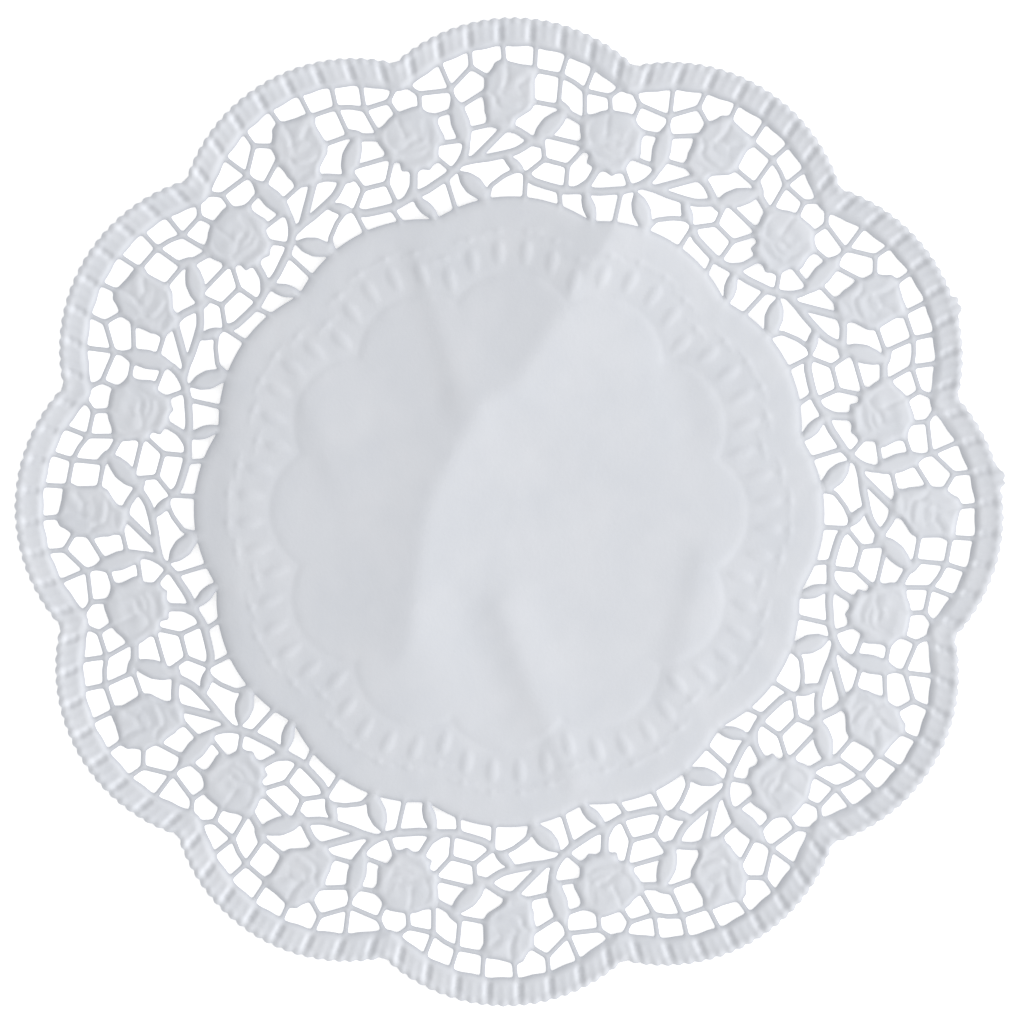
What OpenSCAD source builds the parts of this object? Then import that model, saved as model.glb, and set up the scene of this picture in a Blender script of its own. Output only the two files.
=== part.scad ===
// Round paper lace doily: one sheet of paper, cut through to lace and pressed into relief.
// The origin is the middle of the underside, and +Z points up out of the pressed side.
// Lace points are written [angle, share]: degrees from the middle of a lobe, counter-clockwise,
// and the percentage of the way out from the plain centre to the beaded border.

/* [Sheet] */
// Diameter over the tips of the twelve lobes
overall_d = 300; // [280:5:340]
// Thickness of the paper
paper_t = 0.2; // [0.15:0.05:0.4]
// Height of the deepest pressed relief above the flat paper
relief_h = 0.8; // [0.4:0.1:1.2]

/* [Beaded border] */
// Width of the border from its picots to the lace
border_w = 8.8; // [8:0.2:11]
// Radius of each lobe of the outer edge
lobe_r = 53.6; // [50:0.4:58]
// Depth of the small cut scallops along the outer edge
picot_h = 0.8; // [0.4:0.1:1.2]
// Share of the pitch that each bead fills
bead_fill = 0.8; // [0.6:0.05:0.9]

/* [Lace band] */
// Width of the thin bars that hold the flowers
bar_w = 1.5; // [1.2:0.1:2]
// Width of the flower stems
stem_w = 2.5; // [2:0.1:3.2]
// Width of the broad leaves
leaf_w = 6; // [4.8:0.2:6.4]
// Half the width of the narrowest slit that is cut through
slit_half = 0.4; // [0.3:0.1:0.5]

/* [Plain centre] */
// Diameter over the lobes where the plain centre meets the lace
centre_d = 191; // [180:1:196]
// Radius of each lobe of that edge
centre_lobe_r = 41.5; // [38:0.5:46]
// Diameter over the lobes of the pressed middle field
field_d = 146; // [120:1:150]
// Radius of each lobe of the middle field
field_lobe_r = 20; // [17:0.5:24]
// Length of each pressed drop in the ring around the field
drop_l = 7.4; // [5:0.5:8]
// Width of each pressed drop
drop_w = 4.8; // [3:0.2:5]

/* [Hidden] */
lobe_n = 12;
pitch = 360 / lobe_n;
half = pitch / 2;
rim_r = overall_d / 2;
inner_rim_r = rim_r - border_w;
centre_r = centre_d / 2;
field_r = field_d / 2;
beads = 8;
bead_pitch = pitch / beads;
picots = 3;
rim_points = lobe_n * beads * picots * 4;
drops = 5;
drop_pitch = pitch / drops;
drop_share = 0.3;
cap_l = 2;
arch_h = 1.6;
cord_w = 0.9;
low_h = relief_h * 0.3;
mid_h = relief_h * 0.6;
field_h = relief_h * 0.25;
gap = 0.3;
edge = 0.8;
round_step = 1.5;
steps_round = [0:round_step:360 - round_step];

// Shapes of the lace band, in [angle, share] points -------------------------------------

// Outline of the tall rose at the middle of each lobe, from its own centre
outer_rose_at = [0.6, 67];
outer_rose = [[-0.5, -23], [0.9, -23], [2.4, -21], [3.5, -16], [3.4, -12], [3.7, -9], [3.6, -6],
              [3.7, -1], [3.9, 3], [3.5, 7], [3.4, 13], [2.9, 16], [2.2, 20], [2, 23], [1.3, 24],
              [0.8, 25], [0.2, 23], [-0.6, 22], [-1.5, 21], [-2.6, 21], [-3.4, 19], [-3.7, 15],
              [-3.3, 12], [-3.5, 0], [-3.6, -3], [-3.1, -9], [-2.2, -12], [-1, -16]];

// Outline of the open rose between two lobes, from its own centre
inner_rose_at = [15.7, 62];
inner_rose = [[3.7, -19], [2.4, -19], [2.6, -26], [1.7, -25], [1, -26], [-0.1, -25], [-0.7, -23],
              [-2, -27], [-2.5, -25], [-3.5, -25], [-4.2, -14], [-5, -14], [-5.3, -11], [-4.9, -5],
              [-4.6, 1], [-4.8, 4], [-4.8, 7], [-3.6, 12], [-3, 16], [-2.6, 20], [-1.7, 24],
              [0, 23], [1, 20], [2.1, 15], [2.9, 10], [3.7, 7], [4.5, 1], [4.6, -6], [4.1, -11],
              [4.5, -16]];

// Petals of the tall rose: outline from its centre and height as a share of the relief
outer_petals = [
    [[[-1.1, -8], [0.6, -8], [1.5, -4], [1.7, 3], [0.8, 7], [-0.4, 8], [-1.5, 6], [-2.1, -1],
      [-1.9, -6]], 1],
    [[[2.9, -2], [3, 4], [2.7, 13], [1.7, 22], [0.8, 21], [0.7, 11], [1.3, 9], [2, 4], [2.1, -2]], 0.8],
    [[[-0.7, 8], [0, 12], [0, 21], [-1.3, 19], [-2.6, 19], [-2.6, 13], [-1.7, 11]], 0.9],
    [[[-0.9, -14], [-1, -10], [-2.2, -7], [-2.4, -2], [-2.1, 8], [-2.9, 10], [-3.1, -4], [-2.8, -8],
      [-1.8, -11]], 0.8],
    [[[1.9, -13], [1.8, -9], [2.4, -4], [3.2, -4], [3.2, -10], [2.8, -15]], 0.8],
    [[[2.1, -21], [-0.3, -21], [-0.5, -16], [0.8, -15], [2.3, -17]], 0.7]];

// Petals of the open rose
inner_petals = [
    [[[1.5, -8], [2.8, -9], [3.5, -5], [3.1, 3], [2.3, 9], [1.2, 15], [1.1, 7], [0.9, 2], [0.7, -3]], 0.8],
    [[[0.2, 4], [0.5, 10], [0.3, 20], [-1.1, 22], [-2.3, 18], [-2.9, 10], [-2, 8], [-0.9, 7]], 1],
    [[[1.1, -11], [0.3, -4], [-0.5, -1], [-1.4, -1], [-2.4, 0], [-3, 6], [-4, 5], [-4.2, -7],
      [-3.2, -14], [-1.6, -14]], 0.9],
    [[[0.2, 0], [0, 3], [-1, 6], [-1.9, 6], [-1.9, 3], [-1.2, 2]], 1],
    [[[2, -24], [0.4, -21], [-1.7, -23], [-2.8, -22], [-1.3, -15], [0.6, -16], [2.3, -16]], 0.7]];

// Broad leaves: stem end and tip
leaf_ends = [[[7.1, 34], [8.5, 78]], [[-2.8, 37], [-7.7, 66]], [[9.4, 25], [4.2, -2]]];
// Small leaf that hangs from the vine to the plain centre
short_leaf_ends = [[[-12.2, 18], [-15.9, -3]]];
// Bud under the vine
bud_ends = [[[1.8, 28], [-2.1, 15]]];

// Stems: the vine that winds round the band, and the flower stems that leave it
stems = [[[-2.1, 15], [-3.5, 11], [-6.3, 10], [-9.2, 11], [-11.2, 15], [-13.1, 19],
          [-15, 23], [-18.8, 24], [-20.2, 26], [-21.3, 29], [-23.6, 28], [-25.8, 27],
          [-28.5, 28], [-30.4, 30], [-31.5, 33], [-32.9, 38]],
         [[8.7, 29], [7.9, 33], [7.4, 38]],
         [[1.2, 46], [3.5, 37], [6.4, 28]],
         [[1.2, 46], [-0.5, 44], [-2.9, 38]],
         [[-13.8, 40], [-12.9, 25], [-11.2, 15]],
         [[-2.9, 38], [-3.9, 36]],
         [[-6.4, 67], [-7.6, 64.5]],
         [[-7.2, 63], [-10.4, 62]]];

// Bars: short straight runs that tie flowers, stems and edges together
bars = [[[9.5, 101], [8.6, 81], [8.4, 74]],
        [[5.6, 101], [5.6, 90]],
        [[8.6, 81], [5.6, 90], [3.6, 81]],
        [[1.5, 101], [1.3, 88]],
        [[14.3, 103], [12.9, 91], [13.2, 78]],
        [[12.9, 91], [8.6, 80]],
        [[12.2, 70], [8.6, 66]],
        [[12, 50], [7.3, 43]],
        [[12.6, 43], [10.2, 26]],
        [[7.7, 66], [3.8, 72]],
        [[6.6, 49], [3.2, 49]],
        [[11.4, 22], [10.7, -2]],
        [[4.8, -2], [4, 8], [1.5, 14], [-0.8, 18]],
        [[-2.1, 16], [-2.1, -2]],
        [[-2.1, 15], [-5, 27], [-8.9, 28], [-10.8, 44]],
        [[-5, 27], [-4.4, 40]],
        [[-8.9, 28], [-9.2, 12]],
        [[-8.1, 10], [-8.9, -2]],
        [[-4.6, 43], [-10.6, 47]],
        [[-2.6, 101], [-2.6, 84]],
        [[-2.4, 85], [-6.1, 86], [-7.9, 85], [-9.5, 83], [-12.9, 91], [-12.9, 90]],
        [[-6.6, 101], [-6.1, 86], [-6.2, 64]],
        [[-2.5, 64], [-6.2, 65]],
        [[-10.1, 101], [-9.5, 83], [-10.3, 62]],
        [[-12.9, 91], [-14.2, 103]],
        [[-12.9, 91], [-13.8, 78]]];

// Line from the plain centre to the border that runs in paper all the way and parts two lobes
seam = [[14.3, -6], [17.7, 17], [18.8, 16], [17.1, 25], [16.2, 40], [15.7, 62], [13.2, 78],
        [12.9, 91], [14.3, 106]];

// Curves that repeat round the twelve lobes ----------------------------------------------

// Angle from the middle of the nearest lobe
function in_lobe(a) = a - pitch * round(a / pitch);

// Radius at an angle of an edge made of twelve arcs that reach a tip radius
function lobed(a, tip, arc) =
    (tip - arc) * cos(in_lobe(a))
    + sqrt(pow(arc, 2) - pow((tip - arc) * sin(in_lobe(a)), 2));

// The inner edge of the border runs level across the notch between two lobes
function flat_notch(a) = min(abs(in_lobe(a)), half - 1);

function polar(a, r) = [r * cos(a), r * sin(a)];

// The picots stand between cusps that lie picot_h inside the outer arc
function picot(a) = picot_h * (abs(sin(180 * picots * (a / bead_pitch + 0.5))) - 1);
function border_out(a) = lobed(a, rim_r, lobe_r) + picot(a);
function border_in(a) = lobed(flat_notch(a), inner_rim_r, lobe_r - border_w);
function centre_out(a) = lobed(a, centre_r, centre_lobe_r);
function field_out(a) = lobed(a, field_r, field_lobe_r);

// Radius of the drops, at a share of the way from the middle field to the edge of the centre
function drop_at(a) = field_out(a) + drop_share * (centre_out(a) - field_out(a));
// The cord lies above the caps of the drops and sags between them
function garland(a) =
    drop_at(a) + drop_l / 2 + cap_l + 2 * gap + cord_w / 2
    + arch_h / 2 * (cos(360 * (a - half) / drop_pitch) - 1);

// A point of the lace band, in millimetres
function lace(p) =
    polar(p[0], centre_out(p[0]) + p[1] / 100 * (border_in(p[0]) - centre_out(p[0])));
function shifted(points, by) = [for (p = points) lace(p + by)];

// Share of its half width that a leaf has at a share of its length
function leaf_swell(t) = pow(sin(180 * t), 0.8);

// Outline of a leaf between two points of the band
function leaf_points(ends, w, steps = 4) =
    let (p = lace(ends[0]), q = lace(ends[1]))
    let (along = q - p, side = [-along[1], along[0]] / norm(along))
    concat([for (i = [0:steps]) p + along * i / steps + side * w / 2 * leaf_swell(i / steps)],
           [for (i = [1:steps - 1]) q - along * i / steps - side * w / 2 * leaf_swell(i / steps)]);

// Outline of a pressed drop: a half round with a pointed tail towards the middle
function drop_points(l, w, steps = 6) =
    let (middle = [(l - w) / 2, 0])
    concat([[-l / 2, 0]],
           [for (i = [0:steps]) middle + polar(200 * i / steps - 100, w / 2)]);

module every_lobe() {
    for (i = [0:lobe_n - 1]) rotate(pitch * i) children();
}

// Outline of a straight run from p to q with pointed ends
function run_points(p, q, w, steps = 2) =
    let (turn = atan2(q[1] - p[1], q[0] - p[0]))
    concat([for (i = [0:steps]) q + polar(turn - 90 + 180 * i / steps, w / 2)],
           [for (i = [0:steps]) p + polar(turn + 90 + 180 * i / steps, w / 2)]);

// A polyline of runs
module run(points, w) {
    for (i = [1:len(points) - 1]) polygon(run_points(lace(points[i - 1]), lace(points[i]), w));
}

module pad(points, z, h) {
    translate([0, 0, z]) linear_extrude(h) polygon(points);
}

// The flat sheet ---------------------------------------------------------------------------

module outer_plan() {
    polygon([for (i = [0:rim_points - 1]) polar(i * 360 / rim_points, border_out(i * 360 / rim_points))]);
}

module border_plan() {
    difference() {
        outer_plan();
        polygon([for (a = steps_round) polar(a, border_in(a))]);
    }
}

module centre_plan() {
    polygon([for (a = steps_round) polar(a, centre_out(a))]);
}

module flower_plan() {
    polygon(shifted(outer_rose, outer_rose_at));
    polygon(shifted(inner_rose, inner_rose_at));
    for (ends = leaf_ends) polygon(leaf_points(ends, leaf_w));
    for (ends = short_leaf_ends) polygon(leaf_points(ends, leaf_w * 0.7));
    for (ends = bud_ends) polygon(leaf_points(ends, leaf_w * 0.6));
}

module lace_plan() {
    flower_plan();
    for (s = stems) run(s, stem_w);
    for (b = bars) run(b, bar_w);
}

// What is cut away in one lobe: its cell of the band without the lace
module holes_plan() {
    beyond = [[0, 130]];
    next_seam = [for (i = [len(seam) - 1:-1:0]) seam[i] - [pitch, 0]];
    offset(delta = slit_half) offset(delta = -slit_half) difference() {
        polygon([for (p = concat(seam, beyond, next_seam)) lace(p)]);
        border_plan();
        centre_plan();
        for (i = [-1:1]) rotate(pitch * i) lace_plan();
    }
}

module paper_sheet() {
    color("whitesmoke") linear_extrude(paper_t) difference() {
        outer_plan();
        every_lobe() holes_plan();
    }
}

// Relief pressed up out of the sheet, each kind a node of its own --------------------------

// A bead follows the picots outside and the edge of the lace inside
module bead(a) {
    reach = bead_pitch * bead_fill / 2;
    pad(concat([for (s = [-1:0.25:1]) polar(a + s * reach, border_out(a + s * reach) - edge)],
               [for (s = [1:-0.5:-1]) polar(a + s * reach, border_in(a + s * reach) + edge)]),
        paper_t, relief_h);
}

module border_beads() {
    color("whitesmoke") every_lobe() for (i = [0:beads - 1]) bead(bead_pitch * i);
}

// A flower is a low base with its petals standing on it
module flower(at, outline, petals) {
    pad(shifted([for (p = outline) p * 0.93], at), paper_t, low_h);
    for (p = petals) pad(shifted(p[0], at), paper_t, relief_h * p[1]);
}

module outer_roses() {
    color("whitesmoke") every_lobe() flower(outer_rose_at, outer_rose, outer_petals);
}

module inner_roses() {
    color("whitesmoke") every_lobe() flower(inner_rose_at, inner_rose, inner_petals);
}

// A leaf is a broad pad with a narrower one on it, in two steps of a dome
module leaf(ends, w) {
    inset = (ends[1] - ends[0]) * 0.06;
    short = [ends[0] + inset, ends[1] - inset];
    pad(leaf_points(short, w * 0.8), paper_t, mid_h);
    pad(leaf_points(short, w * 0.25), paper_t, relief_h * 0.8);
}

module long_leaves() {
    color("whitesmoke") every_lobe() for (ends = leaf_ends) leaf(ends, leaf_w);
}

module short_leaves() {
    color("whitesmoke") every_lobe() for (ends = short_leaf_ends) leaf(ends, leaf_w * 0.7);
}

module buds() {
    color("whitesmoke") every_lobe() for (ends = bud_ends) leaf(ends, leaf_w * 0.6);
}

// A raised line down the middle of some runs, stopped short of what they lead to
module ridge(runs, w, h) {
    translate([0, 0, paper_t]) linear_extrude(h) offset(delta = 0) difference() {
        for (r = runs) run(r, w);
        for (i = [-1:1]) rotate(pitch * i) {
            offset(delta = gap) flower_plan();
            children();
        }
        centre_plan();
        border_plan();
    }
}

module vine_stems() {
    color("whitesmoke") every_lobe() ridge(stems, stem_w * 0.6, mid_h);
}

module lace_bars() {
    color("whitesmoke") every_lobe() ridge(bars, bar_w * 0.6, low_h)
        for (s = stems) run(s, stem_w * 0.6 + gap);
}

// The middle field stands a little above the ring round it
module middle_field() {
    color("whitesmoke")
        pad([for (a = steps_round) polar(a, field_out(a))], paper_t, field_h);
}

// Places a copy at each drop's angle, at a distance out from the middle of the drop
module at_each_drop(outwards) {
    for (i = [0:lobe_n * drops - 1])
        rotate(half + i * drop_pitch)
            translate([drop_at(half + i * drop_pitch) + outwards, 0]) children();
}

module drop_ring() {
    color("whitesmoke") at_each_drop(0)
        pad(drop_points(drop_l, drop_w), paper_t, field_h);
}

// Each drop hangs from a small oval cap
module cap_ring() {
    color("whitesmoke") at_each_drop(drop_l / 2 + gap + cap_l / 2)
        pad([for (t = [0:30:330]) [cap_l / 2 * cos(t), drop_w * 0.32 * sin(t)]], paper_t, field_h);
}

// A fine cord runs round above the caps and sags between them
module garland_line() {
    color("whitesmoke") translate([0, 0, paper_t]) linear_extrude(field_h) difference() {
        polygon([for (i = [0:359]) polar(i, garland(i) + cord_w / 2)]);
        polygon([for (i = [0:359]) polar(i, garland(i) - cord_w / 2)]);
    }
}

paper_sheet();
border_beads();
outer_roses();
inner_roses();
long_leaves();
short_leaves();
buds();
vine_stems();
lace_bars();
middle_field();
drop_ring();
cap_ring();
garland_line();
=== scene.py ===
import math

import bmesh
import bpy
import numpy as np
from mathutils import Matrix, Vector, kdtree, noise
from mathutils.geometry import delaunay_2d_cdt


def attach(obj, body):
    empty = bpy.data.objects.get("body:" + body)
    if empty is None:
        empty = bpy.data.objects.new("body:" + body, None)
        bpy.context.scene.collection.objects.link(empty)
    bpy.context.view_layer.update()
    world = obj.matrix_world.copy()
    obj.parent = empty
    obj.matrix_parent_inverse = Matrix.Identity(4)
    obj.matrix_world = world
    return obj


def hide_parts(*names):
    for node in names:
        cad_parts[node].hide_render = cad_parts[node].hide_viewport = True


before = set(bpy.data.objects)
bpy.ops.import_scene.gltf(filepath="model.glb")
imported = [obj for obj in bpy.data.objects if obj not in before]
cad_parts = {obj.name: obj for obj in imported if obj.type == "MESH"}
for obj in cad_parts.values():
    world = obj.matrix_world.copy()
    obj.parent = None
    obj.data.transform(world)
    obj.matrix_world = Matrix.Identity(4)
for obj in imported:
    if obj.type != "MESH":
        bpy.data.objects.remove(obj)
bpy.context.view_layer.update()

# The cut sheet --------------------------------------------------------------------------
# A round doily of thin white paper, with its lace cut out by a die in one stroke. One of its
# twelve like lobes is drawn here, flat, in millimetres and degrees, from the edges of the
# solids.

LOBES = 12
LOBE_TURN = math.tau / LOBES
LOBE_DEGREES = 360 / LOBES
BEADS = 8
BEAD_DEGREES = LOBE_DEGREES / BEADS
# edges made of twelve arcs: how far out a lobe's tip lies, and the radius of its arc
BORDER_TIP, BORDER_ARC = 141.2, 44.8
CENTRE_TIP, CENTRE_ARC = 95.5, 41.5
FIELD_TIP, FIELD_ARC = 72.3, 20.0
# the border's inner edge is blunt from here to the notch between two lobes
BLUNT_FROM = 14


def turned(points, lobes):
    """The points, turned by a whole number of lobes about the middle."""
    c, s = math.cos(lobes * LOBE_TURN), math.sin(lobes * LOBE_TURN)
    return points @ np.array([[c, s], [-s, c]])


def angle_of(points):
    """The angle about the middle at which each point lies."""
    return np.degrees(np.arctan2(points[:, 1], points[:, 0]))


def in_lobe(angle):
    """The angle from the middle line of the lobe that it falls in."""
    return angle - LOBE_DEGREES * np.round(angle / LOBE_DEGREES)


def lobed(angle, tip, arc):
    """Radius at an angle of an edge made of twelve arcs."""
    t = np.radians(in_lobe(angle))
    return (tip - arc) * np.cos(t) + np.sqrt(arc ** 2 - ((tip - arc) * np.sin(t)) ** 2)


def border_inside(angle):
    """Radius at an angle of the inner edge of the beaded border."""
    return lobed(np.minimum(np.abs(in_lobe(angle)), BLUNT_FROM), BORDER_TIP, BORDER_ARC)


def centre_edge(angle):
    """Radius at an angle of the edge between the lace and the plain middle."""
    return lobed(angle, CENTRE_TIP, CENTRE_ARC)


def field_edge(angle):
    """Radius at an angle of the edge of the swollen field inside the ring of drops."""
    return lobed(angle, FIELD_TIP, FIELD_ARC)


def cut_edges(node, under=False):
    """The closed edges of a flat node's upper face, or of its underside, each an array of points."""
    same_spot, same_level = 0.000005, 0.01
    made = bpy.data.objects[node]
    solid = bmesh.new()
    solid.from_mesh(made.data)
    solid.transform(made.matrix_world)
    bmesh.ops.remove_doubles(solid, verts=solid.verts, dist=same_spot)
    solid.verts.index_update()
    at = np.array([v.co[:] for v in solid.verts]) * 1000
    level = at[:, 2].min() if under else at[:, 2].max()
    after = {}
    for face in solid.faces:
        if all(abs(at[v.index, 2] - level) < same_level for v in face.verts):
            for loop in face.loops:
                if any(abs(at[v.index, 2] - level) > same_level
                       for other in loop.edge.link_faces for v in other.verts):
                    start, end = loop.vert.index, loop.link_loop_next.vert.index
                    if under:
                        start, end = end, start
                    after[start] = end
    solid.free()
    edges = []
    while after:
        start, point = after.popitem()
        loop = [start]
        while point != start:
            loop.append(point)
            point = after.pop(point)
        edges.append(at[loop, :2])
    return edges


def middle_of(loop):
    """The middle of the area inside a closed loop, and that area with its sign."""
    following = np.roll(loop, -1, axis=0)
    cross = loop[:, 0] * following[:, 1] - following[:, 0] * loop[:, 1]
    area = cross.sum() / 2
    return ((loop + following) * cross[:, None]).sum(axis=0) / (6 * area), area


def spaced(line, step, closed=False):
    """The line with points set evenly along it, about a step apart."""
    if closed:
        line = np.concatenate([line, line[:1]])
    run = np.concatenate([[0], np.cumsum(np.linalg.norm(np.diff(line, axis=0), axis=1))])
    count = max(4 if closed else 1, round(run[-1] / step))
    along = np.linspace(0, run[-1], count + 1)
    even = np.stack([np.interp(along, run, line[:, k]) for k in (0, 1)], axis=1)
    return even[:-1] if closed else even


def eased(loop, times):
    """The closed loop with its corners rounded, as a die gone blunt leaves them."""
    for _ in range(times):
        loop = 0.25 * np.roll(loop, 1, axis=0) + 0.5 * loop + 0.25 * np.roll(loop, -1, axis=0)
    return loop


def within(points, loop):
    """Which of the points lie inside a closed loop."""
    inside = np.zeros(len(points), bool)
    low, high = loop.min(axis=0), loop.max(axis=0)
    near = np.where(((points >= low) & (points <= high)).all(axis=1))[0]
    if not len(near):
        return inside
    x, y = points[near, 0], points[near, 1]
    hit = np.zeros(len(near), bool)
    for (x0, y0), (x1, y1) in zip(loop, np.roll(loop, -1, axis=0)):
        if y0 != y1:
            hit ^= ((y0 > y) != (y1 > y)) & (x < (x1 - x0) * (y - y0) / (y1 - y0) + x0)
    inside[near] = hit
    return inside


def reach(points, line, closed=False):
    """How far each point is from a line of points."""
    if closed:
        line = np.concatenate([line, line[:1]])
    best = np.full(len(points), 1e9)
    for start, end in zip(line[:-1], line[1:]):
        along = end - start
        share = np.clip(((points - start) @ along) / max(along @ along, 1e-9), 0, 1)
        best = np.minimum(best, np.linalg.norm(points - start - share[:, None] * along, axis=1))
    return best


# a lobe's rim runs between the rim points in the notches on its two sides
RIM_STEP = 0.4
sheet_edges = sorted(cut_edges("paper_sheet"), key=lambda edge: -abs(middle_of(edge)[1]))
rim, holes = sheet_edges[0], sheet_edges[1:]
rim_angle = np.arctan2(rim[:, 1], rim[:, 0])
rim = rim[np.argsort(rim_angle)]
rim_angle = np.sort(rim_angle)
first, last = (int(np.argmin(np.abs(rim_angle - math.radians(notch))))
               for notch in (-LOBE_DEGREES / 2, LOBE_DEGREES / 2))
lobe_rim = rim[first:last + 1]
lobe_rim[0] = turned(lobe_rim[-1:], -1)[0]
rim_line = spaced(lobe_rim, RIM_STEP)
# it is eased together with its two neighbours, so that its ends come out right
three_lobes = np.concatenate([turned(rim_line[:-1], -1), rim_line[:-1], turned(rim_line, 1)])
rim_line = eased(three_lobes, 1)[len(rim_line) - 1:2 * len(rim_line) - 1]
rim_line[-1] = turned(rim_line[:1], 1)[0]

# two lobes are parted along a line that stays in paper all the way out to the notch, given
# as angles and millimetres from the middle
PARTING = [(14.3, 89.2), (17.7, 99.7), (18.8, 99.9), (17.1, 102.6), (16.2, 108.0),
           (15.7, 116.5), (13.2, 123.9), (12.9, 129.6), (14.3, 134.2), (14.4, 138.6)]
# the mesh is fine in the lace, less so in the ring of drops, and coarse in the plain field,
# which ends at this share of the way out to the lace
LACE_STEP = 0.5
RING_STEP = 0.66
PLAIN_STEP = 2.4
PLAIN_SHARE = 0.66
parting = np.array([(r * math.cos(math.radians(angle)), r * math.sin(math.radians(angle)))
                    for angle, r in PARTING])
parting = np.concatenate([parting, rim_line[-1:]])
plain_end = parting[0] * PLAIN_SHARE
plain_part = spaced(np.array([[0, 0], plain_end]), PLAIN_STEP)
ring_part = spaced(np.array([plain_end, parting[0]]), RING_STEP)
lace_parts = [spaced(parting[i:i + 2], LACE_STEP)[:-1] for i in range(len(parting) - 1)]
left_side = np.concatenate([plain_part[:-1], ring_part[:-1]] + lace_parts + [parting[-1:]])
right_side = turned(left_side, -1)
lobe_edge = np.concatenate([right_side, rim_line[1:-1], left_side[:0:-1]])

# along the border the cut waves in and out with the beads
HOLE_STEP = 0.46
HOLE_WAVE = 0.2
WAVE_REACH = 0.7
lobe_holes = []
for hole in holes:
    if within(middle_of(hole)[0][None], lobe_edge)[0]:
        hole = eased(spaced(hole, HOLE_STEP, closed=True), 3)
        r, angle = np.linalg.norm(hole, axis=1), angle_of(hole)
        by_border = np.abs(r - border_inside(angle)) < WAVE_REACH
        wave = HOLE_WAVE * np.cos(math.tau * angle / BEAD_DEGREES) * by_border
        lobe_holes.append(hole * (1 - wave / r)[:, None])


def grown(loop, by):
    """A loop pushed outwards by a distance."""
    if middle_of(loop)[1] < 0:
        loop = loop[::-1]
    loop = spaced(loop, 1.0, closed=True)
    run = np.roll(loop, -1, axis=0) - np.roll(loop, 1, axis=0)
    out = np.stack([run[:, 1], -run[:, 0]], axis=1)
    out /= np.linalg.norm(out, axis=1)[:, None]
    return eased(loop + out * by, 3)


def pads(node, reach_round, by):
    """The outlines of a node's pads that lie round the lobe, pushed outwards."""
    found = []
    for loop in cut_edges(node, under=True):
        centre, area = middle_of(loop)
        if abs(math.degrees(math.atan2(centre[1], centre[0]))) < reach_round and area > 0:
            found.append(grown(loop, by))
    return found


def ring_line(radius_at, by):
    """A line across the lobe, and a little past it, at a distance from one of the lobed edges."""
    sweep = np.arange(-19.0, 19.1, 0.5)
    r = radius_at(sweep) + by
    return np.stack([r * np.cos(np.radians(sweep)), r * np.sin(np.radians(sweep))], axis=1)


# the plain middle, the roses, the leaves and the border end along these lines, which become
# edges of the mesh, so that each can be lifted out of the sheet as a piece of its own; they
# lie a little way out in the net, past where the relief has run down to it
ROSE_SKIRT = 1.5
LEAF_SKIRT = 1.2
INTO_NET = 0.8
tall_lines = pads("outer_roses", 45, ROSE_SKIRT)
open_lines = pads("inner_roses", 50, ROSE_SKIRT)
leaf_lines = [line for node in ("long_leaves", "short_leaves", "buds")
              for line in pads(node, 40, LEAF_SKIRT)]
mesh_points, mesh_sides = [], []


def add_line(line, closed):
    """Put a line into the mesh, with a side between each two of its points."""
    base = sum(len(points) for points in mesh_points)
    mesh_points.append(line)
    count = len(line)
    mesh_sides.extend((base + i, base + (i + 1) % count) for i in range(count if closed else count - 1))


for line in [lobe_edge] + lobe_holes + tall_lines + open_lines + leaf_lines:
    add_line(line, True)
add_line(ring_line(border_inside, -INTO_NET), False)
add_line(ring_line(centre_edge, INTO_NET), False)


def dense(loop):
    """The closed loop with two more points on each of its sides."""
    following = np.roll(loop, -1, axis=0)
    return np.concatenate([loop + (following - loop) * k / 3 for k in range(3)])


def nearest(points, others):
    """How far each point is from the nearest of some others."""
    tree = kdtree.KDTree(len(others))
    for i, point in enumerate(others):
        tree.insert((point[0], point[1], 0), i)
    tree.balance()
    return np.array([tree.find((point[0], point[1], 0))[2] for point in points])


def grid(step):
    """Points in staggered rows over a box that holds the lobe."""
    box_long, box_half = 151, 76
    rows = []
    for k, y in enumerate(np.arange(-box_half, box_half, step * math.sqrt(0.75))):
        x = np.arange(0, box_long, step) + (step / 2 if k % 2 else 0)
        rows.append(np.stack([x, np.full(len(x), y)], axis=1))
    return np.concatenate(rows)


hole_points = np.concatenate([dense(turned(hole, k)) for k in (-1, 0, 1) for hole in lobe_holes])
near_rim = np.concatenate([turned(rim_line, k) for k in (-1, 0, 1)])
cut_points = np.concatenate([hole_points, dense(near_rim)[:-3]])
# how far the finer mesh runs on past the lace, and past the ring of drops, and how near to
# a cut and to a parting line it sets a point, as a share of its step
LACE_OVER = 2.6
RING_OVER = 3
CLEAR_OF_CUT = 0.45
CLEAR_OF_PARTING = 0.4
for step in (LACE_STEP, RING_STEP, PLAIN_STEP):
    points = grid(step)
    points = points[within(points, lobe_edge)]
    r, angle = np.linalg.norm(points, axis=1), angle_of(points)
    in_lace = r > centre_edge(angle) - LACE_OVER
    in_ring = ~in_lace & (r > field_edge(angle) - RING_OVER)
    if step == LACE_STEP:
        points = points[in_lace]
    elif step == RING_STEP:
        points = points[in_ring]
    else:
        points = points[~in_lace & ~in_ring & (r > 1)]
    for hole in lobe_holes:
        points = points[~within(points, hole)]
    points = points[nearest(points, cut_points) > step * CLEAR_OF_CUT]
    to_parting = np.minimum(reach(points, left_side), reach(points, right_side))
    mesh_points.append(points[to_parting > step * CLEAR_OF_PARTING])

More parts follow.
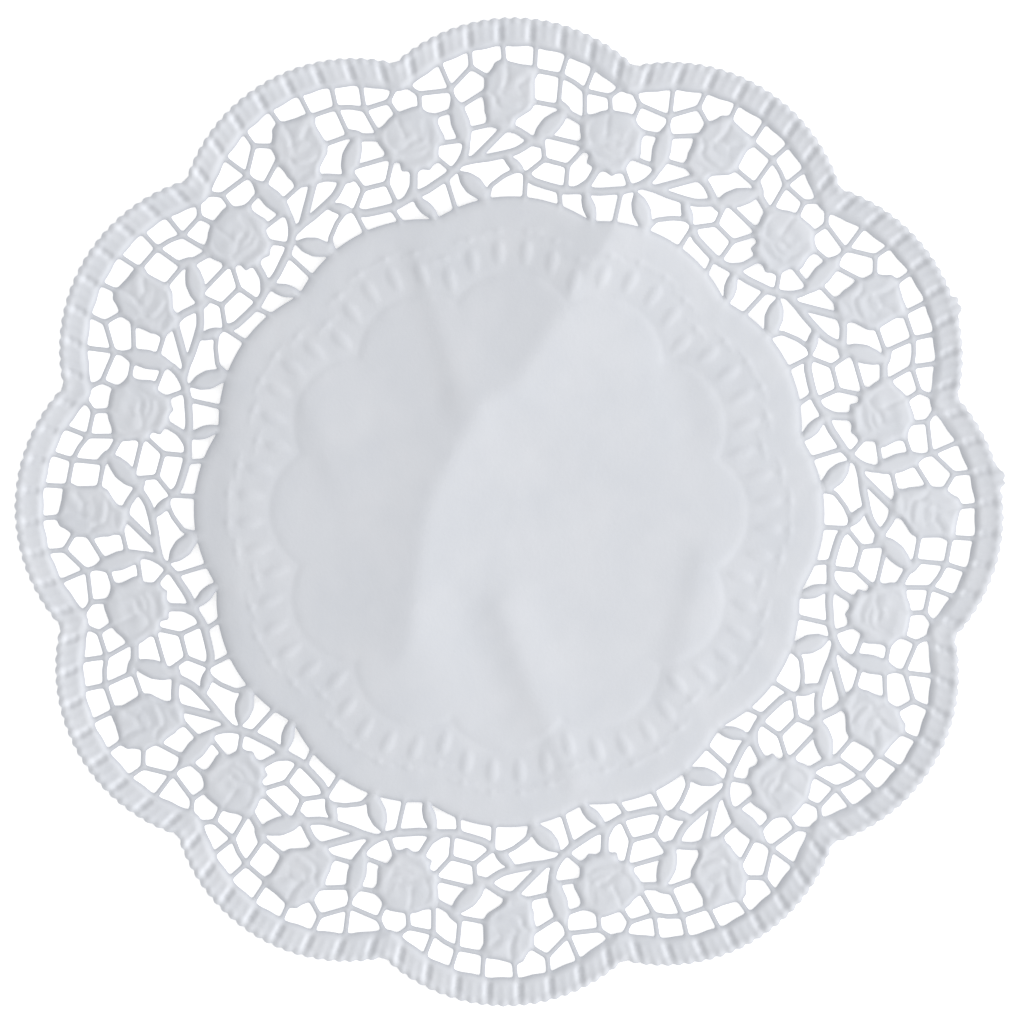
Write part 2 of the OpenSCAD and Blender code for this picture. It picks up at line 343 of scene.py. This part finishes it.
found = delaunay_2d_cdt([Vector(point) for point in np.concatenate(mesh_points)], mesh_sides,
                        [], 0, 1e-5, False)
lobe_at = np.array([tuple(point) for point in found[0]])
lobe_tris = np.array(found[2])
lobe_mids = lobe_at[lobe_tris].mean(axis=1)
is_paper = within(lobe_mids, lobe_edge)
for hole in lobe_holes:
    is_paper &= ~within(lobe_mids, hole)
lobe_mids = lobe_mids[is_paper]
used, lobe_tris = np.unique(lobe_tris[is_paper], return_inverse=True)
lobe_tris = lobe_tris.reshape(-1, 3)
lobe_at = lobe_at[used]
side_a = lobe_at[lobe_tris[:, 1]] - lobe_at[lobe_tris[:, 0]]
side_b = lobe_at[lobe_tris[:, 2]] - lobe_at[lobe_tris[:, 0]]
face_down = side_a[:, 0] * side_b[:, 1] - side_a[:, 1] * side_b[:, 0] < 0
lobe_tris[face_down] = lobe_tris[face_down][:, ::-1]

# The bars and stems ----------------------------------------------------------------------
# Strips of the paper that the die leaves between its holes: thin bars, and winding stems
# that carry the roses. The press rounds them up into low cords, the wider ones higher.

PLAIN, NET, BORDER, TALL, OPEN, LEAF = range(6)
BAR_HIGH = 0.26
BAR_WIDE = 1.9
radius, angle = np.linalg.norm(lobe_at, axis=1), angle_of(lobe_at)
from_cut = nearest(lobe_at, cut_points)
from_hole = nearest(lobe_at, hole_points)
height = BAR_HIGH * np.sin(math.pi / 2 * np.clip(from_cut / BAR_WIDE, 0, 1)) ** 1.2
zone = np.full(len(lobe_mids), NET)

# The leaves and buds ---------------------------------------------------------------------
# Smooth rounded leaves and buds of the same paper along the stems, pressed up with steep
# sides. They hang in the net by the bars and stems that run into them.

LEAF_HIGH = 0.33
LEAF_SHOULDER = 1.3
SWELL_HIGH = 0.05
SWELL_SHOULDER = 2.8


def ease(x):
    """A smooth step from 0 to 1."""
    x = np.clip(x, 0, 1)
    return x * x * (3 - 2 * x)


def rise(x):
    """A rounded shoulder from 0 to 1, steep at its foot."""
    return 1 - (1 - np.clip(x, 0, 1)) ** 2


def share_in(lines, start, over):
    """A share that grows to 1 across a width, which starts some way inside closed lines."""
    share = np.zeros(len(lobe_at))
    for line in lines:
        far = reach(lobe_at, line, closed=True)
        depth = np.where(within(lobe_at, line), far, -far)
        share = np.maximum(share, ease((depth - start) / over))
    return share


def laid(over, share):
    """The height, with a zone's own height laid over it where its share is 1."""
    return height + (over - height) * share


def mark(lines, number):
    """Give the triangles inside closed lines to a zone."""
    for line in lines:
        zone[within(lobe_mids, line)] = number


leaf_high = LEAF_HIGH * rise(from_cut / LEAF_SHOULDER) + SWELL_HIGH * rise(from_cut / SWELL_SHOULDER)
height = laid(leaf_high, share_in(leaf_lines, start=0.3, over=1.6))
mark(leaf_lines, LEAF)

# The open roses --------------------------------------------------------------------------
# A round rose of pressed paper between every two lobes, seen from above, with its petals
# curled round a cup. Each petal is a low swelling, parted from the next by a groove.

ROSE_HIGH = 0.43
ROSE_SHOULDER = 1.6
PETALS_FADE = 1.2
# each stroke has its line in millimetres out from the middle and across, how far it stands
# up or, below nothing, sinks in, and how wide it is
OPEN_STROKES = [
    ([(111.6, 35), (111.9, 34.8)], 0.156, 1.7),
    ([(108.7, 36.5), (110, 38.2), (112, 39.6)], 0.084, 0.8),
    ([(113.2, 31.5), (113.6, 31)], 0.132, 1.0),
    ([(117.4, 33), (118.4, 31), (118, 28.6)], 0.144, 1.8),
    ([(110.3, 30.6), (110.6, 28.8), (111.7, 27)], 0.096, 0.6),
    ([(108.6, 31.2), (108.6, 28.2), (110, 26.2)], 0.072, 0.6),
    ([(112.8, 28), (114.2, 27.6), (116, 28.4)], 0.048, 0.5),
    ([(104.4, 31.5), (104.8, 29), (104.9, 26.6)], 0.12, 1.0),
    ([(106.4, 36.6), (107.4, 36.8)], 0.096, 1.0),
    ([(112.5, 24.2), (115, 24)], 0.084, 0.9),
    ([(113.4, 33), (115, 33.8), (116.8, 34.7), (119, 35.4)], -0.156, 0.6),
    ([(108.6, 35.2), (109.2, 33.4), (110.6, 32), (112, 30.8), (112.6, 29)], -0.132, 0.6),
    ([(112.4, 29), (113.6, 27.4), (115.4, 27), (117, 27.6)], -0.084, 0.55),
    ([(106.6, 33), (106.4, 30.4), (107, 27.8), (108.2, 26.2)], -0.12, 0.8),
    ([(109.2, 35.8), (110.4, 37.6), (112.5, 38.5), (115, 38.3)], -0.084, 0.5),
    ([(110.2, 25.4), (113, 25.5), (116, 25.9), (118, 27)], -0.084, 0.6),
    ([(109.2, 31), (109.4, 28.8), (110.6, 26.8), (112.4, 25.9)], -0.06, 0.45)]


def hump(x, middle, wide, power=2):
    """A rounded hump that is 1 at its middle, with flatter tops for higher powers."""
    return np.exp(-((x - middle) / wide) ** power)


def petals(strokes, points):
    """How far the strokes of a rose stand up or sink in at each point."""
    more = np.zeros(len(points))
    for line, tall, wide in strokes:
        more += tall * hump(reach(points, np.array(line, float)), 0, wide)
    return more


def rose_high(more):
    """The height of a rose with its petals, which fade out at its cut edge."""
    return ROSE_HIGH * rise(from_cut / ROSE_SHOULDER) + more * ease(from_cut / PETALS_FADE)


open_petals = petals(OPEN_STROKES, turned(lobe_at, 1)) + petals(OPEN_STROKES, lobe_at)
height = laid(rose_high(open_petals), share_in(open_lines, start=0.5, over=1.8))
mark(open_lines, OPEN)

# The tall roses --------------------------------------------------------------------------
# A rose of pressed paper on its stem in the middle of each lobe, seen from the side, half
# open towards the border, with the calyx at the inner end.

TALL_STROKES = [
    ([(123, -0.6), (123.1, 1.8), (123.8, 4)], 0.144, 0.9),
    ([(127, 2.2), (127.9, 1), (128.1, -0.2)], 0.072, 0.6),
    ([(118.4, 1), (119.6, -0.4), (121.1, -2.6), (122.8, -4.2)], 0.12, 0.7),
    ([(131, -0.2), (132.6, -1.6), (133.3, -3.4)], 0.156, 1.3),
    ([(124.4, -4.2), (127, -4.5), (130, -4.4)], 0.072, 0.7),
    ([(122.4, 6.9), (124.4, 7.2)], 0.132, 1.0),
    ([(127.2, 5.3), (129, 4.3), (131, 4), (134, 4.5)], 0.096, 0.8),
    ([(117, 4.8), (117.6, 3.2)], 0.12, 0.9),
    ([(116.9, 1.6), (117.2, 1.2)], 0.096, 0.8),
    ([(129, 3), (131, 2.2), (133.2, 2), (135.4, 2.4)], -0.216, 0.7),
    ([(129.2, -1.2), (130.2, -2.5), (131, -3.6)], -0.168, 0.7),
    ([(121.6, -2), (121.4, 1), (121.9, 4), (123.4, 5.4), (125, 5.6)], -0.108, 0.6),
    ([(126.2, -2.6), (125.4, 0.8), (125.9, 3), (127, 3.6)], -0.084, 0.6),
    ([(129.4, 2), (129.2, 0.4), (128.6, -1.2), (126.6, -2.2)], -0.072, 0.5),
    ([(124.6, 5.4), (126, 6.1), (127, 7.6)], -0.12, 0.5),
    ([(118.9, 6.4), (119.6, 4.6), (119.5, 2.4)], -0.096, 0.6)]
tall_petals = petals(TALL_STROKES, lobe_at)
height = laid(rose_high(tall_petals), share_in(tall_lines, start=0.5, over=1.8))
mark(tall_lines, TALL)

# The beaded border -----------------------------------------------------------------------
# A raised band of the same paper that turns up towards the rim, with three small scallops
# to a bead along its cut edge. The press parts the beads, eight to a lobe, by deep pits.

RIM_TIP, RIM_ARC = 149.7, 53.6
RIBS = 3
RIB_HIGH, RIB_FAINT = 0.12, 0.03
PIT_WIDE = 1.05
BEAD_HALF, BEAD_SAG = 4.6, 0.005
KNOB_HIGH, KNOB_IN = 0.05, 7.4
DISH_DEEP, DISH_IN, DISH_ASIDE, DISH_WIDE = 0.05, 4.7, 3.4, 1.6
BORDER_SHOULDER = 1.3
# how high the band stands at some distances in from the rim, over a bead and in a pit
BEAD_AT = (0, 0.7, 1.5, 2.9, 6.6, 7.6, 8.6, 10)
BEAD_HIGH = (0.46, 0.69, 0.76, 0.63, 0.6, 0.44, 0.22, 0.05)
PIT_AT = (0, 1.1, 1.6, 3.2, 4.2, 4.9, 5.8, 7.1, 8.6)
PIT_HIGH = (0.6, 0.72, 0.68, 0.04, 0.16, 0.14, 0, 0.42, 0.14)


def rim_radius(angle):
    """Radius at an angle of the scalloped rim."""
    return lobed(angle, RIM_TIP, RIM_ARC)


in_rim = rim_radius(angle) - radius
across = ((angle / BEAD_DEGREES) % 1 - 0.5) * math.radians(BEAD_DEGREES) * radius
over_bead = np.interp(in_rim, BEAD_AT, BEAD_HIGH)
in_pit = np.interp(in_rim, PIT_AT, PIT_HIGH)
pit_share = hump(np.abs(across), 0, PIT_WIDE, 3)
# the ribs are strong at the rim, where they end in the scallops, and faint farther in
rib = np.cos(math.tau * RIBS * angle / BEAD_DEGREES)
scallop = RIB_HIGH * rib * hump(in_rim, 1, 1.1) + RIB_FAINT * rib * hump(in_rim, 4.6, 1.8, 4)
# a bead sags between its pits, has a knob at its inner end and a small dish on each side
sag = BEAD_SAG * (BEAD_HALF - np.abs(across)) ** 2
knob = KNOB_HIGH * np.cos(math.tau * angle / BEAD_DEGREES) * hump(in_rim, KNOB_IN, 0.8)
from_dish = (np.abs(across) - DISH_ASIDE) ** 2 + (in_rim - DISH_IN) ** 2
dish = DISH_DEEP * np.exp(-from_dish / DISH_WIDE ** 2)
border_high = over_bead - sag + (in_pit - over_bead) * pit_share + scallop + knob - dish
border_high = np.maximum(border_high, 0) * rise(from_hole / BORDER_SHOULDER)
height = laid(border_high, ease((radius - border_inside(angle) + 0.5) / 1.4))
mid_radius, mid_angle = np.linalg.norm(lobe_mids, axis=1), angle_of(lobe_mids)
zone[mid_radius > border_inside(mid_angle) - INTO_NET] = BORDER

# The plain middle ------------------------------------------------------------------------
# The whole paper inside the lace, rolled down to it along its edge. The press leaves a ring
# of faint drops in it that hang from a cord, round a field that swells a little.

MIDDLE_HIGH = 0.42
MIDDLE_SHOULDER = 3.4
FIELD_HIGH = 0.17
FIELD_SHOULDER = 2.8
CREASE_DEEP = 0.05
DROP_HIGH, CAP_HIGH, CORD_HIGH = 0.24, 0.144, 0.1
DROP_DEGREES = 6.0
# a drop's widest place lies this far in from where it hangs, and it is longer inwards
DROP_BACK = 0.4
DROP_WIDE, DROP_OUTWARD, DROP_INWARD = 1.95, 3.4, 4.8
CAP_WIDE, CAP_LONG, CAP_OUT = 1.3, 1.2, 5.4
CORD_WIDE, CORD_OUT, CORD_WAVE = 0.5, 5.7, 0.3
# where the drops hang, as a share of the way from the field to the lace
DROP_SHARE = 0.32


def oval(across, along):
    """A rounded pad, 1 at its middle and 0 past its edge, from shares of its half sizes."""
    return np.clip(1 - across ** 2 - along ** 2, 0, 1) ** 0.8


in_field = field_edge(angle) - radius
middle = MIDDLE_HIGH * rise(from_cut / MIDDLE_SHOULDER)
middle += FIELD_HIGH * (1 - np.exp(-np.maximum(in_field, 0) / FIELD_SHOULDER))
middle -= CREASE_DEEP * hump(in_field, -0.3, 1.1)
drop_turn = (angle / DROP_DEGREES) % 1 - 0.5
drop_angle = np.floor(angle / DROP_DEGREES) * DROP_DEGREES + DROP_DEGREES / 2
drop_r = field_edge(drop_angle) + DROP_SHARE * (centre_edge(drop_angle) - field_edge(drop_angle))
aside = drop_turn * math.radians(DROP_DEGREES) * radius
out = radius - drop_r
drop_long = np.where(out > -DROP_BACK, DROP_OUTWARD, DROP_INWARD)
middle += DROP_HIGH * oval(aside / DROP_WIDE, (out + DROP_BACK) / drop_long)
middle += CAP_HIGH * oval(aside / CAP_WIDE, (out - CAP_OUT) / CAP_LONG)
middle += CORD_HIGH * hump(out, CORD_OUT + CORD_WAVE * np.cos(math.tau * drop_turn), CORD_WIDE)
height = laid(middle, ease((centre_edge(angle) - radius + 0.5) / 1.6))
zone[mid_radius < centre_edge(mid_angle) + INTO_NET] = PLAIN

# The pressed sheet -----------------------------------------------------------------------
# All of these are one piece of rag white paper, soft and matt, that came out of the press
# together. The lobe is repeated round the middle and joined, and the sheet has buckled.

PAPER_MM = 0.2
# how far in from a cut the painted shade along the cuts reaches
EDGE_SHADE_WIDE = 0.8
JOINED_WITHIN = 0.02
paper = bpy.data.materials.new("pressed paper")
paper.use_nodes = True
nodes, links = paper.node_tree.nodes, paper.node_tree.links
shader = nodes["Principled BSDF"]
shader.inputs["Roughness"].default_value = 0.8
shader.inputs["Specular IOR Level"].default_value = 0.3
place = nodes.new("ShaderNodeTexCoord")
fibre = nodes.new("ShaderNodeTexNoise")
fibre.inputs["Scale"].default_value = 900
fibre.inputs["Detail"].default_value = 3
cloud = nodes.new("ShaderNodeTexNoise")
cloud.inputs["Scale"].default_value = 60
cloud.inputs["Detail"].default_value = 4
tint = nodes.new("ShaderNodeValToRGB")
dark, light = tint.color_ramp.elements[0], tint.color_ramp.elements[1]
dark.position, light.position = 0.3, 0.7
dark.color = (0.76, 0.785, 0.835, 1)
light.color = (0.80, 0.82, 0.865, 1)
grain = nodes.new("ShaderNodeBump")
grain.inputs["Strength"].default_value = 0.25
grain.inputs["Distance"].default_value = 0.0001
# painted shade: the paper is painted a little greyer along its cuts, which darkens the bars and the
# edges of the holes
painted_edge_shade = nodes.new("ShaderNodeAttribute")
painted_edge_shade.attribute_name = "cut edge"
shade = nodes.new("ShaderNodeMix")
shade.data_type = "RGBA"
# the grey of the painted shade along the cuts
shade.inputs["B"].default_value = (0.64, 0.665, 0.72, 1)
for from_socket, to_socket in (
        (place.outputs["Object"], fibre.inputs["Vector"]),
        (place.outputs["Object"], cloud.inputs["Vector"]),
        (cloud.outputs["Fac"], tint.inputs["Fac"]),
        (painted_edge_shade.outputs["Fac"], shade.inputs["Factor"]),
        (tint.outputs["Color"], shade.inputs["A"]),
        (shade.outputs["Result"], shader.inputs["Base Color"]),
        (fibre.outputs["Fac"], grain.inputs["Height"]),
        (grain.outputs["Normal"], shader.inputs["Normal"])):
    links.new(from_socket, to_socket)

one = bpy.data.meshes.new("one lobe")
one.vertices.add(len(lobe_at))
one.vertices.foreach_set("co", (np.column_stack([lobe_at, PAPER_MM + height]) / 1000).ravel())
one.loops.add(len(lobe_tris) * 3)
one.loops.foreach_set("vertex_index", lobe_tris.ravel().astype(np.int32))
one.polygons.add(len(lobe_tris))
one.polygons.foreach_set("loop_start", np.arange(0, len(lobe_tris) * 3, 3, dtype=np.int32))
one.update(calc_edges=True)
zone_mark = one.attributes.new("zone", "INT", "FACE")
zone_mark.data.foreach_set("value", zone.astype(np.int32))
# painted shade: how much greyer the paper is painted near each cut
edge_mark = one.attributes.new("cut edge", "FLOAT", "POINT")
edge_mark.data.foreach_set("value", hump(from_hole, 0, EDGE_SHADE_WIDE))
lobe = bpy.data.objects.new("one lobe", one)
bpy.context.collection.objects.link(lobe)

tree = bpy.data.node_groups.new("lobes round the middle", "GeometryNodeTree")
tree.interface.new_socket("Geometry", in_out="INPUT", socket_type="NodeSocketGeometry")
lobes_in = tree.interface.new_socket("Lobes", in_out="INPUT", socket_type="NodeSocketInt")
join_in = tree.interface.new_socket("Joined within", in_out="INPUT", socket_type="NodeSocketFloat")
tree.interface.new_socket("Geometry", in_out="OUTPUT", socket_type="NodeSocketGeometry")
inlet = tree.nodes.new("NodeGroupInput")
outlet = tree.nodes.new("NodeGroupOutput")
places = tree.nodes.new("GeometryNodePoints")
index = tree.nodes.new("GeometryNodeInputIndex")
lobe_turn = tree.nodes.new("ShaderNodeMath")
lobe_turn.operation = "DIVIDE"
lobe_turn.inputs[0].default_value = math.tau
turn = tree.nodes.new("ShaderNodeMath")
turn.operation = "MULTIPLY"
spin = tree.nodes.new("ShaderNodeCombineXYZ")
copies = tree.nodes.new("GeometryNodeInstanceOnPoints")
real = tree.nodes.new("GeometryNodeRealizeInstances")
join = tree.nodes.new("GeometryNodeMergeByDistance")
coat = tree.nodes.new("GeometryNodeSetMaterial")
coat.inputs["Material"].default_value = paper
for from_socket, to_socket in (
        (inlet.outputs["Lobes"], places.inputs["Count"]),
        (inlet.outputs["Lobes"], lobe_turn.inputs[1]),
        (lobe_turn.outputs[0], turn.inputs[0]),
        (index.outputs[0], turn.inputs[1]),
        (turn.outputs[0], spin.inputs["Z"]),
        (places.outputs[0], copies.inputs["Points"]),
        (inlet.outputs["Geometry"], copies.inputs["Instance"]),
        (spin.outputs[0], copies.inputs["Rotation"]),
        (copies.outputs[0], real.inputs[0]),
        (real.outputs[0], join.inputs["Geometry"]),
        (inlet.outputs["Joined within"], join.inputs["Distance"]),
        (join.outputs[0], coat.inputs["Geometry"]),
        (coat.outputs[0], outlet.inputs["Geometry"])):
    tree.links.new(from_socket, to_socket)
ring = lobe.modifiers.new("lobes", "NODES")
ring.node_group = tree
ring[lobes_in.identifier] = LOBES
ring[join_in.identifier] = JOINED_WITHIN / 1000
whole = bpy.data.meshes.new_from_object(lobe.evaluated_get(bpy.context.evaluated_depsgraph_get()))
bpy.data.objects.remove(lobe)

count = len(whole.vertices)
sheet = np.empty(count * 3)
whole.vertices.foreach_get("co", sheet)
sheet = sheet.reshape(-1, 3) * 1000
faces = np.empty(len(whole.polygons) * 3, dtype=np.int32)
whole.loops.foreach_get("vertex_index", faces)
faces = faces.reshape(-1, 3).astype(np.int64)
face_zone = np.empty(len(faces), dtype=np.int32)
whole.attributes["zone"].data.foreach_get("value", face_zone)
# the painted shade along the cuts, for the whole sheet
edge_shade_share = np.empty(count)
whole.attributes["cut edge"].data.foreach_get("value", edge_shade_share)
bpy.data.meshes.remove(whole)


def sides_of(triangles):
    """The sides of triangles, each from one point's number to the next one's."""
    return np.concatenate([triangles[:, [0, 1]], triangles[:, [1, 2]], triangles[:, [2, 0]]])


def open_sides(sides, count):
    """The sides that only one triangle has."""
    code = sides[:, 0] * count + sides[:, 1]
    return sides[~np.isin(code, sides[:, 1] * count + sides[:, 0])]


# the paper evens out what is pressed into it, but for the height of its cut edges
sides = sides_of(faces)
on_cut = np.zeros(count, bool)
on_cut[open_sides(sides, count).ravel()] = True
around = np.bincount(sides[:, 0], minlength=count) + 1e-9
for _ in range(2):
    mean = np.bincount(sides[:, 0], weights=sheet[sides[:, 1], 2], minlength=count) / around
    sheet[:, 2] = np.where(on_cut, sheet[:, 2], 0.5 * sheet[:, 2] + 0.5 * mean)

# the sheet has lifted into a shallow dome, with a fold over it that dies away in the lace
DOME_HIGH, DOME_R = 3.0, 137
FOLD = [(30, 85), (19, 67), (1.5, 38.5), (-9, 33), (-21, 9.5), (-25.5, -3), (-29.5, -39)]
FOLD_HIGH, FOLD_WIDE = 2.7, 34
FOLD_ENDS_R, FOLD_DIES_OVER = 80, 55
flat = sheet[:, :2].copy()
far = np.linalg.norm(flat, axis=1)
fold = FOLD_HIGH * np.exp(-np.sqrt(reach(flat, np.array(FOLD, float)) ** 2 + 1) / FOLD_WIDE)
dome = DOME_HIGH * (1 - np.minimum(far / DOME_R, 1) ** 2)
sheet[:, 2] += fold * (1 - ease((far - FOLD_ENDS_R) / FOLD_DIES_OVER)) + dome

# soft rolls lie in it, each a line, a height, and a width on the line's left and its right
ROLLS = [([(-27, 75), (-15, 35)], 0.45, 14, 4), ([(-1, -30), (7, -51), (19, -78)], 0.5, 9, 4.5),
         ([(-12, -33), (-2, -62)], -0.25, 5, 11), ([(-63, 40), (-58, 24), (-53, 12)], 0.3, 14, 4),
         ([(49, 46), (54.5, 27)], -0.35, 6, 9), ([(59.5, -14), (51, -50)], 0.4, 9, 5),
         ([(-80, 36), (-84, 0), (-79, -38)], 0.5, 26, 7)]
for line, tall, left, right in ROLLS:
    (start_x, start_y), (end_x, end_y) = line[0], line[-1]
    long_x, long_y = end_x - start_x, end_y - start_y
    off = reach(flat, np.array(line, float)) + 0.001
    to_left = long_x * (flat[:, 1] - start_y) - long_y * (flat[:, 0] - start_x)
    lean = np.clip(to_left / math.hypot(long_x, long_y) / off, -1, 1)
    sheet[:, 2] += tall * np.exp(-(off / (right + (left - right) * (1 + lean) / 2)) ** 2)

# the plain middle has a faint ripple all over
RIPPLE_HIGH, RIPPLE_LONG = 0.05, 5
RIPPLE_ENDS_R, RIPPLE_DIES_OVER = 85, 15
ripple = np.array([noise.noise(Vector((x / RIPPLE_LONG, y / RIPPLE_LONG, 0))) for x, y in flat])
sheet[:, 2] += RIPPLE_HIGH * ripple * (1 - ease((far - RIPPLE_ENDS_R) / RIPPLE_DIES_OVER))

# two nibs on one side of the rim weren't cut clean away: where each is, and how far out
NIBS = ((4.8, 1.7), (25.4, 1.5))
NIB_HALF = 2.8
NIB_DEEP = 1.6
from_rim = far - rim_radius(angle_of(flat))
for nib_angle, nib_out in NIBS:
    aside = (angle_of(flat) - nib_angle) * np.radians(far)
    push = nib_out * hump(aside, 0, NIB_HALF, 6) * ease((from_rim + NIB_DEEP) / NIB_DEEP)
    sheet[:, :2] += flat / np.maximum(far, 1)[:, None] * push[:, None]

corners = sheet[faces]
face_out = np.cross(corners[:, 1] - corners[:, 0], corners[:, 2] - corners[:, 0])
point_out = np.stack([np.bincount(faces.ravel(), weights=np.repeat(face_out[:, k], 3), minlength=count)
                      for k in range(3)], axis=1)
point_out /= np.linalg.norm(point_out, axis=1)[:, None]


def piece(name, number):
    """The part of the sheet in one zone, as a closed shell one paper thick."""
    used, tri = np.unique(faces[face_zone == number], return_inverse=True)
    tri = tri.reshape(-1, 3)
    own = len(used)
    upper = sheet[used]
    lower = upper - [0, 0, PAPER_MM]
    wall = open_sides(sides_of(tri), own)
    walls = np.column_stack([wall[:, 1], wall[:, 0], wall[:, 0] + own, wall[:, 1] + own])
    loops = np.concatenate([tri.ravel(), (tri[:, ::-1] + own).ravel(), walls.ravel()])
    wall_start = 6 * len(tri)
    starts = np.concatenate([np.arange(0, wall_start, 3), wall_start + np.arange(0, 4 * len(walls), 4)])
    made = bpy.data.meshes.new(name)
    made.vertices.add(2 * own)
    made.vertices.foreach_set("co", (np.concatenate([upper, lower]) / 1000).ravel())
    made.loops.add(len(loops))
    made.loops.foreach_set("vertex_index", loops.astype(np.int32))
    made.polygons.add(len(starts))
    made.polygons.foreach_set("loop_start", starts.astype(np.int32))
    made.update(calc_edges=True)
    made.materials.append(paper)
    # the painted shade along the cuts, on both faces of the piece
    edge_shade_mark = made.attributes.new("cut edge", "FLOAT", "POINT")
    edge_shade_mark.data.foreach_set("value", np.tile(edge_shade_share[used], 2))
    # the faces are shaded as one sheet across the pieces, and the walls as one cut round them
    run = upper[wall[:, 1], :2] - upper[wall[:, 0], :2]
    outward = np.column_stack([run[:, 1], -run[:, 0]])
    wall_out = np.zeros((own, 2))
    for end in (0, 1):
        np.add.at(wall_out, wall[:, end], outward)
    wall_out /= np.maximum(np.linalg.norm(wall_out, axis=1), 1e-9)[:, None]
    wall_out = np.column_stack([wall_out, np.zeros(own)])
    normals = np.concatenate([point_out[used][tri.ravel()], -point_out[used][tri[:, ::-1].ravel()],
                              wall_out[walls.ravel() % own]])
    made.shade_smooth()
    made.normals_split_custom_set(normals.tolist())
    made.validate(verbose=False)
    shown = bpy.data.objects.new(name, made)
    bpy.context.collection.objects.link(shown)
    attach(shown, "root")
    return shown


# each zone is lifted out as a piece of its own, and stands for the solids of its kind
sheet_piece = piece("plain_middle", PLAIN)
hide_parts("paper_sheet", "middle_field", "drop_ring", "cap_ring", "garland_line")
net_piece = piece("lace_net", NET)
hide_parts("lace_bars", "vine_stems")
border_piece = piece("beaded_border", BORDER)
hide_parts("border_beads")
tall_piece = piece("tall_roses", TALL)
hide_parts("outer_roses")
open_piece = piece("open_roses", OPEN)
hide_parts("inner_roses")
leaf_piece = piece("leaves_and_buds", LEAF)
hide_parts("long_leaves", "short_leaves", "buds")

# The table and the light -----------------------------------------------------------------
# A white table under a soft even light, with one low wide lamp that picks out the relief.
# The doily is seen from straight above it.

TABLE_HALF = 3
TABLE_Z = -0.0003
LAMP_AZIMUTH, LAMP_ELEVATION = math.radians(-6), math.radians(17)
EYE_HIGH = 1.6
SEEN_WIDE = 0.3103
table = bpy.data.meshes.new("table")
table_corners = [(x * TABLE_HALF, y * TABLE_HALF, TABLE_Z)
                 for x, y in ((-1, -1), (1, -1), (1, 1), (-1, 1))]
table.from_pydata(table_corners, [], [(0, 1, 2, 3)])
table_top = bpy.data.objects.new("table", table)
bpy.context.collection.objects.link(table_top)
white = bpy.data.materials.new("white table")
white.use_nodes = True
table_nodes, table_links = white.node_tree.nodes, white.node_tree.links
table_shader = table_nodes["Principled BSDF"]
table_shader.inputs["Base Color"].default_value = (0.97, 0.97, 0.97, 1)
table_shader.inputs["Roughness"].default_value = 1
table_shader.inputs["Specular IOR Level"].default_value = 0
table_shader.inputs["Emission Color"].default_value = (1, 1, 1, 1)
# the table shows white to the eye alone, and throws no more light on the paper for it
ray = table_nodes.new("ShaderNodeLightPath")
glow = table_nodes.new("ShaderNodeMath")
glow.operation = "MULTIPLY"
glow.inputs[1].default_value = 0.6
table_links.new(ray.outputs["Is Camera Ray"], glow.inputs[0])
table_links.new(glow.outputs[0], table_shader.inputs["Emission Strength"])
table.materials.append(white)

world = bpy.data.worlds.new("studio")
bpy.context.scene.world = world
world.use_nodes = True
sky = world.node_tree.nodes["Background"]
sky.inputs["Color"].default_value = (1, 1, 1, 1)
sky_ray = world.node_tree.nodes.new("ShaderNodeLightPath")
level = world.node_tree.nodes.new("ShaderNodeMapRange")
level.inputs["To Min"].default_value = 0.6
level.inputs["To Max"].default_value = 1
world.node_tree.links.new(sky_ray.outputs["Is Camera Ray"], level.inputs["Value"])
world.node_tree.links.new(level.outputs["Result"], sky.inputs["Strength"])

lamp = bpy.data.lights.new("low lamp", "SUN")
lamp.energy = 2.85
lamp.angle = math.radians(36)
lamp_at = bpy.data.objects.new("low lamp", lamp)
bpy.context.collection.objects.link(lamp_at)
to_lamp = Vector((math.cos(LAMP_AZIMUTH) * math.cos(LAMP_ELEVATION),
                  math.sin(LAMP_AZIMUTH) * math.cos(LAMP_ELEVATION), math.sin(LAMP_ELEVATION)))
lamp_at.rotation_euler = to_lamp.to_track_quat("Z", "Y").to_euler()
bpy.context.scene.view_settings.view_transform = "Standard"

eye = bpy.data.cameras.new("eye")
eye.lens = eye.sensor_width * EYE_HIGH / SEEN_WIDE
eye.clip_end = 10
eye_at = bpy.data.objects.new("eye", eye)
bpy.context.collection.objects.link(eye_at)
eye_at.location = (0.00084, 0.00057, EYE_HIGH)
eye_at.rotation_euler = (0, 0, math.radians(0.7))
bpy.context.scene.camera = eye_at
